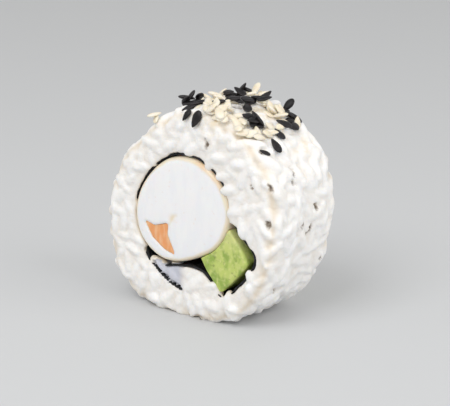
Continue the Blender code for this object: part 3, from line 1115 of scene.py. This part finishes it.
    def laid(self, draw: random.Random, place: Place) -> Matrix:
        """Return the frame of a grain that lies at the place, a random amount proud of the core.

        Args:
            draw: The source of random numbers.
            place: Where the grain lies.

        Returns:
            The frame.
        """
        share = math.sin(place.lean)
        proud = draw.uniform(*self.side_proud) * (1 - share) + draw.uniform(*self.face_proud) * share
        on_rim = self.rim_leans[0] < place.lean < self.rim_leans[1]
        turn = draw.uniform(-0.5, 0.5) * (self.rim_turn if on_rim else math.pi)
        size = draw.uniform(*self.grain_sizes)
        lift = Matrix.Translation((0, 0, proud - self.grain.half_height * size))
        tilt = Matrix.Rotation(draw.uniform(-self.grain_tilt, self.grain_tilt), 4, "Y")
        roll = Matrix.Rotation(draw.uniform(-math.pi, math.pi), 4, "X")
        return place.frame(turn) @ lift @ tilt @ roll @ Matrix.Scale(size, 4)

    def flat_grain(self, flat: Vector, along: float, turn: float, size: float) -> Matrix:
        """Return the frame of a grain that lies in the cut's plane, turned from +X towards +Z."""
        spin = Matrix.Rotation(-turn, 4, "Y")
        return Matrix.Translation(ROLL.world(flat, along)) @ spin @ Matrix.Scale(size, 4)

    def lip_grains(self, draw: random.Random) -> list[Matrix]:
        """Return the frames of grains on both cuts: along the prawn on the closed lips, and in the tongue.

        Args:
            draw: The source of random numbers.

        Returns:
            The frames.
        """
        frames = []
        for lip in self.lips:
            angle = lip.first + self.lip_grain_ends[0]
            while lip.gap < self.open_gap and angle < lip.last - self.lip_grain_ends[1]:
                for cut in Cut:
                    outward = lip.gap + draw.uniform(*self.lip_grain_off) * MM
                    flat = FILLING.prawn_point(math.radians(angle), outward)
                    along = cut.value * (ROLL.half - draw.uniform(*self.lip_grain_back) * MM)
                    turn = angle + 90 + draw.uniform(-self.lip_grain_turn, self.lip_grain_turn)
                    frames.append(self.flat_grain(flat, along, math.radians(turn), self.lip_grain_size))
                angle += draw.uniform(*self.lip_grain_apart)
        for across, up, turn in self.tongue_grains:
            for cut in Cut:
                flat = Vector((across, up)) * MM
                along = cut.value * (ROLL.half - self.tongue_grain_back)
                frames.append(self.flat_grain(flat, along, math.radians(turn), self.tongue_grain_size))
        return frames

    def add_lips(self, work: bmesh.types.BMesh) -> None:
        """Add a shallow band of rice at both cuts for each lip.

        Args:
            work: The shape that the bands are added to.
        """
        depth = ROLL.half - self.core_inset - self.lip_depth / 2
        for lip in self.lips:
            steps = math.ceil((lip.last - lip.first) / self.lip_step)
            angles = [math.radians(lip.first + (lip.last - lip.first) * k / steps) for k in range(steps + 1)]
            inner = [FILLING.prawn_point(angle, lip.gap) for angle in angles]
            outer = [FILLING.prawn_point(angle, self.lip_width) for angle in reversed(angles)]
            band = prism("lip", inner + outer, self.lip_depth / 2)
            stamp(work, band.data, [Matrix.Translation((0, cut.value * depth, 0)) for cut in Cut])
            bpy.data.objects.remove(band)

    def body(self) -> bpy.types.Object:
        """Return the pressed rice in one skin.

        Returns:
            The object, linked to the scene.
        """
        draw = random.Random(self.grain_draw)
        inset = ROLL.side_relief + self.core_inset
        outline = [ROLL.outline(TAU * k / self.core_sides, inset) for k in range(self.core_sides)]
        core = prism("rice_body", outline, ROLL.half - self.core_inset, ROLL.rim)
        carve(core, prism("room", FILLING.cavity(), ROLL.length))
        frames = [self.laid(draw, place) for place in self.places(draw)]
        LOG.info("pressed grains: %d", len(frames))
        work = bmesh.new()
        work.from_mesh(core.data)
        self.add_lips(work)
        stamp(work, self.grain.mesh("pressed_grain"), frames + self.lip_grains(draw))
        work.to_mesh(core.data)
        work.free()
        remade(core, self.voxel, self.passes)
        move_points(core, self.settled)
        return core

    def settled(self, point: Vector, normal: Vector) -> Vector:
        """Return how far a point of the rice moves: the tongue sinks back, and the base lies on the table.

        Args:
            point: The point.
            normal: The surface's normal there.

        Returns:
            The way that it moves.
        """
        flat = ROLL.in_cut(point)
        rough = sum(high * noise.noise(point / size) for high, size in self.roughness)
        uneven = normal * (rough - self.pit_depth * self.pit(point))
        groove = 1 - smoothstep(nearest_on(flat, FILLING.flat(FILLING.outer_lap)), *self.groove_band)
        sunk = FILLING.tongue_share(flat) * (self.tongue_recess + groove * self.tongue_groove)
        sunk *= smoothstep(abs(point.y), *self.sunk_band)
        shift = uneven - Vector((0, math.copysign(sunk, point.y), 0))
        shift.z = max(shift.z, -point.z)
        return shift

    def crevice(self, point: Vector) -> float:
        """Return how deep the point lies between the grains, from 0 to 1, for the shade painted there."""
        return self.crevice_share * smoothstep(ROLL.depth(point), *self.crevice_band)

    def shade(self, point: Vector) -> float:
        """Return how far the point is into the shaded tongue, from 0 to 1."""
        return FILLING.tongue_share(ROLL.in_cut(point))

    def find_pits(self) -> None:
        """Choose where grains are missing: some places that show, and random ones all round."""
        draw = random.Random(self.pit_draw)
        noise.seed_set(self.pit_draw)
        spots = [(math.radians(angle), reach * MM) for angle, reach in self.pits]
        first = self.pit_span[0]
        last = ROLL.half + self.pit_span[1]
        spots += [(draw.uniform(0, TAU), draw.uniform(first, last)) for _ in range(self.pit_count)]
        self.pit_tree = KDTree(len(spots))
        for k, (angle, reach) in enumerate(spots):
            place = ROLL.at(angle, reach)
            self.pit_tree.insert(place.point, k)
            size = Matrix.Scale(draw.uniform(*self.pit_sizes), 4)
            self.pit_frames.append((place.frame(draw.gauss(0, self.pit_turn)) @ size).inverted())
        self.pit_tree.balance()

    def pit(self, point: Vector) -> float:
        """Return how far the point is into a gap that a missing grain leaves, from 0 to 1, for its dent and
        painted shade.

        Args:
            point: The point of space.

        Returns:
            The share.
        """
        _, k, distance = self.pit_tree.find(point)
        if distance > self.pit_reach:
            return 0.0
        ragged = point + noise.noise_vector(point / self.pit_ragged_size) * self.pit_ragged * MM
        apart = self.pit_frames[k] @ ragged
        across = math.hypot(apart.x / self.pit_stretch, apart.y)
        return math.exp(-(across / self.pit_radius) ** 4) * (1 - smoothstep(abs(apart.z), *self.pit_walls))

    def stain(self, point: Vector) -> float:
        """Return how much the sesame's oil has tinted the rice at the point, from 0 to 1.

        Args:
            point: The point of space.

        Returns:
            The share.
        """
        most = 0.0
        for angle, reach, radius in self.stain_spots:
            apart = (ROLL.at(math.radians(angle), reach * MM).point - point).length / (radius * MM)
            most = max(most, math.exp(-apart * apart))
        return self.stain_share * most

    def build(self) -> bpy.types.Object:
        """Build and dress the rice, and return it.

        Returns:
            The rice, for the sesame to lie on.
        """
        self.find_pits()
        body = self.body()
        # The crevice is painted shade between the grains.
        paint(body, "crevice", self.crevice)
        # The shade is painted shade in the sunk tongue between the laps.
        paint(body, "shade", self.shade)
        # The pit is painted shade in the gaps that missing grains leave.
        paint(body, "pit", self.pit)
        paint(body, "stain", self.stain)
        return dress(body, self.finish.material(), "rice")


@dataclass
class Nori:
    """The sheet of nori, rolled once round the fillings."""

    thickness: float = 0.26 * MM
    half: float = 9.3 * MM
    rows: int = 24
    edge_depth: float = 0.1 * MM
    edge_wave: float = 0.25 * MM
    edge_wave_size: float = 2.2 * MM
    beside_prawn: Pair = (2.5 * MM, 3 * MM)
    covered_arcs: tuple[Triple, ...] = ((-4, 22, 0.9 * MM), (104, 181, 0.12 * MM), (181, 226, 0.9 * MM))
    finish: NoriFinish = NoriFinish()

    def sunk(self, point: Vector) -> float:
        """Return how much further in the sheet's edge lies there, where grains reach over it to the prawn.

        Args:
            point: A point of the edge.

        Returns:
            How far in it lies.
        """
        middle = ROLL.world(Vector(FILLING.prawn_middle) * MM, point.y)
        away = point - middle
        angle = math.degrees(math.atan2(away.z, away.x))
        near, far = (FILLING.prawn_radius + beyond for beyond in self.beside_prawn)
        depths = (depth for first, last, depth in self.covered_arcs if (angle - first) % 360 < last - first)
        return sum(depths) * (1 - smoothstep(away.length, near, far))

    def build(self) -> None:
        """Build and dress the sheet."""
        work = bmesh.new()
        line = FILLING.nori_line()
        verts = [work.verts.new(ROLL.world(p, -self.half)) for p in line]
        edges = [work.edges.new(pair) for pair in zip(verts, verts[1:])]
        for _ in range(self.rows):
            made = bmesh.ops.extrude_edge_only(work, edges=edges)["geom"]
            edges = [g for g in made if isinstance(g, bmesh.types.BMEdge)]
            moved = [g for g in made if isinstance(g, bmesh.types.BMVert)]
            bmesh.ops.translate(work, verts=moved, vec=(0, 2 * self.half / self.rows, 0))
        for vertex in work.verts:
            if abs(abs(vertex.co.y) - self.half) < self.edge_depth:
                uneven = self.edge_wave * noise.noise(vertex.co / self.edge_wave_size) - self.sunk(vertex.co)
                vertex.co.y += uneven * math.copysign(1, vertex.co.y)
        sheet = finished_thing(work, "nori_sheet")
        wall = sheet.modifiers.new("thickness", "SOLIDIFY")
        wall.thickness = self.thickness
        wall.offset = 0.0
        bake(sheet)
        dress(sheet, self.finish.material(), "nori")


@dataclass
class Prawn:
    """The curled prawn in the cut, with its coral flesh folded into it."""

    half: float = 9.7 * MM
    rim: float = 0.9 * MM
    dome: float = 0.25 * MM
    voxel: float = 0.3 * MM
    skin_width: float = 0.45 * MM
    skin_wave: float = 0.5
    skin_waves: float = 3
    skin_fade: float = 2.2
    waviness: Pair = (0.07 * MM, 3.5 * MM)
    cut_band: Pair = (0.5, 0.9)
    blush_arc: Pair = (22, 78)
    blush_band: Pair = (0.35 * MM, 1.25 * MM)
    blush_share: float = 0.75
    blush_wave: float = 1.6 * MM
    blush_ragged: Pair = (0.75, 0.5)
    seam: tuple[Pair, ...] = ((-4.4, -2.0), (-3.9, -0.9), (-3.4, -0.1), (-2.6, 0.2))
    crease: Pair = (0.12 * MM, 0.3 * MM)
    seam_width: float = 0.32 * MM
    seam_share: float = 0.5
    spot: Pair = (-3.6, -0.5)
    spot_radius: float = 0.75 * MM
    spot_share: float = 0.6
    smoothing: int = 3
    coral_half: float = 9.66 * MM
    coral_voxel: float = 0.2 * MM
    coral_smoothing: int = 1
    coral_waviness: Pair = (0.06 * MM, 1.2 * MM)
    finish: PrawnFinish = PrawnFinish()
    coral_finish: CoralFinish = CoralFinish()

    def polar(self, point: Vector) -> Pair:
        """Return the point's angle round the prawn's middle, and how far inside its outline it is.

        Args:
            point: The point of space.

        Returns:
            The angle and the depth.
        """
        across = point.x - ROLL.axis[0] - FILLING.prawn_middle[0] * MM
        up = point.z - ROLL.axis[2] - FILLING.prawn_middle[1] * MM
        angle = math.atan2(up, across)
        return angle, FILLING.prawn_reach(angle) - math.hypot(across, up)

    def relief(self, point: Vector, normal: Vector) -> Vector:
        """Return how far a point of the prawn moves: the cuts are slightly domed and uneven.

        Args:
            point: The point.
            normal: The surface's normal there.

        Returns:
            The way that it moves.
        """
        _, depth = self.polar(point)
        rise = 1 - (1 - min(1.0, max(0.0, depth) / FILLING.prawn_radius)) ** 2
        cut = smoothstep(abs(normal.y), *self.cut_band)
        crease_depth, crease_width = self.crease
        apart = nearest_on(ROLL.in_cut(point), FILLING.flat(self.seam))
        crease = math.exp(-(apart / crease_width) ** 2) * crease_depth
        high, size = self.waviness
        return normal * ((self.dome * rise - crease) * cut + high * noise.noise(point / size))

    def skin(self, point: Vector) -> float:
        """Return how much of the cream skin line shows at the point.

        Args:
            point: The point of space.

        Returns:
            The share.
        """
        angle, depth = self.polar(point)
        wave = noise.noise(Vector((math.cos(angle), math.sin(angle), 0)) * self.skin_waves)
        width = self.skin_width * (1 + self.skin_wave * wave)
        line = 1 - smoothstep(depth, width, width * self.skin_fade)
        flat = ROLL.in_cut(point)
        seam = math.exp(-(nearest_on(flat, FILLING.flat(self.seam)) / self.seam_width) ** 2)
        spot = math.exp(-((flat - Vector(self.spot) * MM).length / self.spot_radius) ** 2)
        return min(1.0, line + self.seam_share * seam + self.spot_share * spot)

    def blush(self, point: Vector) -> float:
        """Return how much orange shows at the point: a band along the upper right of the outline.

        Args:
            point: The point of space.

        Returns:
            The share.
        """
        angle, depth = self.polar(point)
        first, last = self.blush_arc
        middle = math.radians((first + last) / 2)
        off = abs((angle - middle + math.pi) % TAU - math.pi)
        share = 1 - smoothstep(off, math.radians((last - first) / 4), math.radians((last - first) / 2))
        band = 1 - smoothstep(depth, *self.blush_band)
        even, uneven = self.blush_ragged
        ragged = even + uneven * noise.noise(point / self.blush_wave)
        return max(0.0, min(1.0, self.blush_share * share * band * ragged))

    def build(self) -> None:
        """Build and dress the prawn and its coral flesh."""
        prawn = prism("prawn_slice", FILLING.prawn_outline(), self.half, self.rim)
        coral_outline = FILLING.flat(FILLING.coral)
        carve(prawn, prism("fold", coral_outline, ROLL.length))
        remade(prawn, self.voxel, self.smoothing)
        move_points(prawn, self.relief)
        paint(prawn, "skin", self.skin)
        paint(prawn, "blush", self.blush)
        dress(prawn, self.finish.material(), "prawn")
        coral = prism("coral_fold", coral_outline, self.coral_half)
        remade(coral, self.coral_voxel, self.coral_smoothing)
        high, size = self.coral_waviness
        move_points(coral, lambda point, normal: normal * high * noise.noise(point / size))
        dress(coral, self.coral_finish.material(), "prawn_coral")


@dataclass
class Avocado:
    """The stick of avocado that leans on the prawn."""

    half: float = 9.5 * MM
    rim: float = 0.4 * MM
    voxel: float = 0.25 * MM
    smoothing: int = 2
    gap: float = 0.05 * MM
    waviness: Pair = (0.14 * MM, 2.4 * MM)
    pale_over: float = 14.0 * MM
    pale_rise: float = 6 * MM
    pale_share: float = 0.8
    finish: AvocadoFinish = AvocadoFinish()

    def height(self, point: Vector) -> float:
        """Return how much paler the flesh is, towards the top of the stick."""
        return self.pale_share * smoothstep(point.z, self.pale_over, self.pale_over + self.pale_rise)

    def build(self) -> None:
        """Build and dress the stick."""
        stick = prism("avocado_stick", FILLING.avocado_outline(), self.half, self.rim)
        carve(stick, prism("beside", FILLING.prawn_outline(self.gap), ROLL.length))
        remade(stick, self.voxel, self.smoothing)
        high, size = self.waviness
        move_points(stick, lambda point, normal: normal * high * noise.noise(point / size))
        paint(stick, "height", self.height)
        dress(stick, self.finish.material(), "avocado")


@dataclass(frozen=True)
class Patch:
    """A patch of sesame: its middle and spread in degrees and millimetres, and its seeds of each colour."""

    angle: float
    along: float
    angle_spread: float
    along_spread: float
    black: int
    cream: int


class SeedColour(Enum):
    """The two colours of sesame."""

    BLACK = "sesame_black"
    CREAM = "sesame_cream"


@dataclass(frozen=True)
class Lone:
    """A seed with a place of its own in degrees and millimetres, its turn, tilt, size and colour."""

    angle: float
    along: float
    turn: float
    tilt: float = 0.0
    size: float = 1.0
    cream: bool = False


@dataclass
class Sesame:
    """The sesame scattered and heaped on top of the rice."""

    seed: Kernel = Kernel(1.62 * MM, 0.95 * MM, 0.44 * MM, 12, 9, narrowing=0.5, bluntness=0.9)
    patches: tuple[Patch, ...] = (
        Patch(68, -7.6, 9, 1.4, 0, 20),
        Patch(80, -3.0, 4, 2.0, 0, 8),
        Patch(64, 3.0, 5, 2.6, 0, 15),
        Patch(56, -3.5, 4, 2.0, 0, 8),
        Patch(96, 2.5, 4, 1.2, 0, 7),
        Patch(83, 8.0, 3, 0.6, 0, 5),
        Patch(112, -8.4, 1, 0.4, 0, 2),
        Patch(95, -5.4, 3.5, 1.6, 11, 0),
        Patch(93, -1.0, 3, 0.8, 0, 4),
        Patch(92, 6.6, 3, 1.6, 9, 0),
        Patch(75, 0.5, 3, 1.2, 6, 0),
        Patch(71, 4.2, 2, 0.8, 3, 0),
        Patch(62, -3.4, 3, 0.8, 6, 0),
        Patch(60, 6.4, 3, 0.9, 3, 0),
    )
    lone: tuple[Lone, ...] = (
        Lone(90, -9.4, 60, size=0.8),
        Lone(83, -9.8, 70, size=1.12),
        Lone(82, -4.2, 10),
        Lone(50, -0.6, 0),
        Lone(53, 1.6, 30),
        Lone(51, 4.4, 95),
        Lone(44, -4.2, 0),
        Lone(43, -7.2, 40, size=0.7),
        Lone(64, 7.8, 85, tilt=65),
        Lone(57, 7.6, 5),
        Lone(96, -5.2, 40, tilt=60),
        Lone(84, 7.6, 80, tilt=62, cream=True),
        Lone(104, 0.0, 70, tilt=30, cream=True),
    )
    seed_draw: int = 21
    rim_margin: float = 1.3 * MM
    fall: float = 6 * MM
    slope_share: float = 0.8
    heap_reach: float = 1.7 * MM
    heap_step: float = 0.6 * MM
    heap: float = 1.6 * MM
    ceiling: float = 43.6 * MM
    sink: float = 0.12 * MM
    tilt: float = 0.35
    heap_band: Pair = (0.1 * MM, 0.6 * MM)
    heap_tilt: float = 1.4
    tilt_lift: float = 0.4
    rib_share: float = 0.8
    rib_band: Pair = (0.05, 0.3)
    sizes: dict[SeedColour, Pair] = field(default_factory=lambda: {
        SeedColour.BLACK: (0.9, 1.08),
        SeedColour.CREAM: (0.78, 1.0),
    })
    finishes: dict[SeedColour, SeedFinish] = field(default_factory=lambda: {
        SeedColour.BLACK: SeedFinish(
            "black_sesame", (0.007, 0.006, 0.007), (0.018, 0.015, 0.017), (0.05, 0.045, 0.048), 0.45, 0.0,
        ),
        SeedColour.CREAM: SeedFinish(
            "cream_sesame", (0.84, 0.75, 0.58), (0.89, 0.82, 0.69), (0.92, 0.87, 0.77), 0.38, 0.5 * MM,
        ),
    })

    def rib(self, mesh: bpy.types.Mesh) -> list[float]:
        """Return how much of the paler rib shows at each point of one seed.

        Args:
            mesh: The mesh of the seed.

        Returns:
            The shares, in the order of the points.
        """
        values = []
        for vertex in mesh.vertices:
            flat = abs(vertex.co.z) / self.seed.half_height
            values.append(self.rib_share * (1 - smoothstep(flat, *self.rib_band)))
        return values

    def build(self, ground: bpy.types.Object) -> None:
        """Lay the seeds on the rice and dress them.

        Args:
            ground: The piece that the seeds lie on.
        """
        draw = random.Random(self.seed_draw)
        graph = bpy.context.evaluated_depsgraph_get()
        tree = BVHTree.FromObject(ground, graph)
        frames: dict[SeedColour, list[Matrix]] = {colour: [] for colour in SeedColour}
        laid: list[tuple[Vector, float]] = []
        wanted = [
            (patch, colour)
            for patch in self.patches
            for colour, count in ((SeedColour.CREAM, patch.cream), (SeedColour.BLACK, patch.black))
            for _ in range(count)
        ]
        limit = ROLL.half - self.rim_margin
        for patch, colour in wanted:
            angle = math.radians(draw.gauss(patch.angle, patch.angle_spread))
            along = draw.gauss(patch.along, patch.along_spread) * MM
            place = ROLL.at(angle, max(-limit, min(limit, along)))
            turn = draw.uniform(0, TAU)
            size = draw.uniform(*self.sizes[colour])
            tilt = draw.uniform(-self.tilt, self.tilt)
            frames[colour].append(self.resting(place, turn, tilt, size, tree, laid))
        for one in self.lone:
            place = ROLL.at(math.radians(one.angle), one.along * MM)
            colour = SeedColour.CREAM if one.cream else SeedColour.BLACK
            turn = math.radians(one.turn)
            frames[colour].append(self.resting(place, turn, math.radians(one.tilt), one.size, tree, laid))
        mesh = self.seed.mesh("seed")
        rib = self.rib(mesh)
        for colour in SeedColour:
            work = bmesh.new()
            stamp(work, mesh, frames[colour])
            thing = finished_thing(work, colour.value)
            layer = thing.data.attributes.new("rib", "FLOAT", "POINT")
            layer.data.foreach_set("value", rib * len(frames[colour]))
            dress(thing, self.finishes[colour].material(), "rice")

    def resting(
        self,
        place: Place,
        turn: float,
        tilt: float,
        size: float,
        tree: BVHTree,
        laid: list[tuple[Vector, float]],
    ) -> Matrix:
        """Return the frame of a seed that lies at the place, on the rice or on seeds that lie there already.

        Args:
            place: Where the seed falls.
            turn: Which way it points, from the way round the roll.
            tilt: How far one end of it is raised, which grows on top of other seeds.
            size: Its size, as a share of the usual one.
            tree: The surface that it lands on.
            laid: The seeds that lie there, each with the height of its top, to which this one is added.

        Returns:
            The frame.
        """
        height = 0.0
        up = place.normal.copy()
        start = place.point + place.normal * self.fall
        hit, normal, _, _ = tree.ray_cast(start, -place.normal, 2 * self.fall)
        if hit is not None:
            height = (hit - place.point).dot(place.normal)
            up = (place.normal + normal * self.slope_share).normalized()
        bare = height
        for other, top in laid:
            share = (other - place.point).length / self.heap_reach
            if share < 1:
                height = max(height, top * (1 - share * share) + bare * share * share)
        height = min(height, bare + self.heap)
        laid.append((place.point.copy(), height + self.heap_step))
        stacked = smoothstep(height - bare, *self.heap_band)
        tilt *= 1.0 + (self.heap_tilt * stacked if abs(tilt) <= self.tilt else 0.0)
        lift = abs(math.sin(tilt)) * self.seed.half_length * self.tilt_lift
        rise = height + self.seed.half_height - self.sink + lift
        wanted = place.around * math.cos(turn) + place.normal.cross(place.around) * math.sin(turn)
        y = up.cross(wanted).normalized()
        x = y.cross(up)
        base = Matrix.Translation(place.point + place.normal * rise)
        facing = Matrix((x, y, up)).transposed().to_4x4()
        lying = base @ facing @ Matrix.Rotation(tilt, 4, "Y") @ Matrix.Scale(size, 4)
        halves = (self.seed.half_length, self.seed.half_width, self.seed.half_height)
        upward = math.hypot(*(part * half for part, half in zip(lying[2], halves)))
        lying.translation.z -= max(0.0, lying.translation.z + upward - self.ceiling)
        return lying


@dataclass(frozen=True)
class Lamp:
    """A square soft lamp: its angles from the roll in degrees, its power in watts, its width in metres."""

    name: str
    azimuth: float
    elevation: float
    power: float
    size: float


@dataclass
class Studio:
    """A pale tabletop, soft light and the camera of the photograph."""

    azimuth: float = 40.0
    elevation: float = 16.0
    distance: float = 294 * MM
    lens: float = 120.9
    aim: Pair = (0.99 * MM, 0.96 * MM)
    floor_size: float = 4.0
    world: float = 0.68
    world_colour: Colour = (1.0, 0.995, 0.985)
    lamp_distance: float = 0.6
    lamps: tuple[Lamp, ...] = (Lamp("key", 5, 48, 1.5, 0.35), Lamp("fill", 95, 30, 1.0, 0.4))
    finish: FloorFinish = FloorFinish()

    def direction(self, azimuth: float, elevation: float) -> Vector:
        """Return the way from the roll to something at that azimuth and elevation.

        Args:
            azimuth: Angle from the front, towards +X, in degrees.
            elevation: Angle above the table, in degrees.

        Returns:
            The way, one long.
        """
        a = math.radians(azimuth)
        e = math.radians(elevation)
        return Vector((math.sin(a) * math.cos(e), -math.cos(a) * math.cos(e), math.sin(e)))

    def light(self, lamp: Lamp) -> None:
        """Hang the lamp, facing the roll.

        Args:
            lamp: The lamp.
        """
        data = bpy.data.lights.new(lamp.name, "AREA")
        data.energy = lamp.power
        data.size = lamp.size
        thing = link(bpy.data.objects.new(lamp.name, data))
        way = self.direction(lamp.azimuth, lamp.elevation)
        thing.location = Vector(ROLL.axis) + way * self.lamp_distance
        thing.rotation_euler = way.to_track_quat("Z", "Y").to_euler()

    def camera(self) -> None:
        """Place the camera where the photograph was taken from."""
        data = bpy.data.cameras.new("camera")
        data.lens = self.lens
        data.clip_start = 0.01
        thing = link(bpy.data.objects.new("camera", data))
        back = self.direction(self.azimuth, self.elevation)
        turn = back.to_track_quat("Z", "Y")
        right = turn @ Vector((1, 0, 0))
        up = turn @ Vector((0, 1, 0))
        target = Vector(ROLL.axis) + right * self.aim[0] + up * self.aim[1]
        thing.location = target + back * self.distance
        thing.rotation_euler = turn.to_euler()
        bpy.context.scene.camera = thing

    def build(self) -> None:
        """Set up the tabletop, the world's light, the lamps and the camera."""
        work = bmesh.new()
        bmesh.ops.create_grid(work, x_segments=1, y_segments=1, size=self.floor_size / 2)
        floor = finished_thing(work, "tabletop")
        floor.data.materials.append(self.finish.material())
        world = bpy.data.worlds.new("studio")
        world.use_nodes = True
        background = world.node_tree.nodes["Background"]
        background.inputs["Color"].default_value = (*self.world_colour, 1.0)
        background.inputs["Strength"].default_value = self.world
        bpy.context.scene.world = world
        for lamp in self.lamps:
            self.light(lamp)
        self.camera()
        bpy.context.scene.view_settings.view_transform = "Standard"


def main() -> None:
    """Build the roll's pieces and the studio, in order."""
    logging.basicConfig(level=logging.INFO, format="%(name)s: %(message)s")
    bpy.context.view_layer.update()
    ground = Rice().build()
    Nori().build()
    Prawn().build()
    Avocado().build()
    Sesame().build(ground)
    Studio().build()


if __name__ == "__main__":
    main()
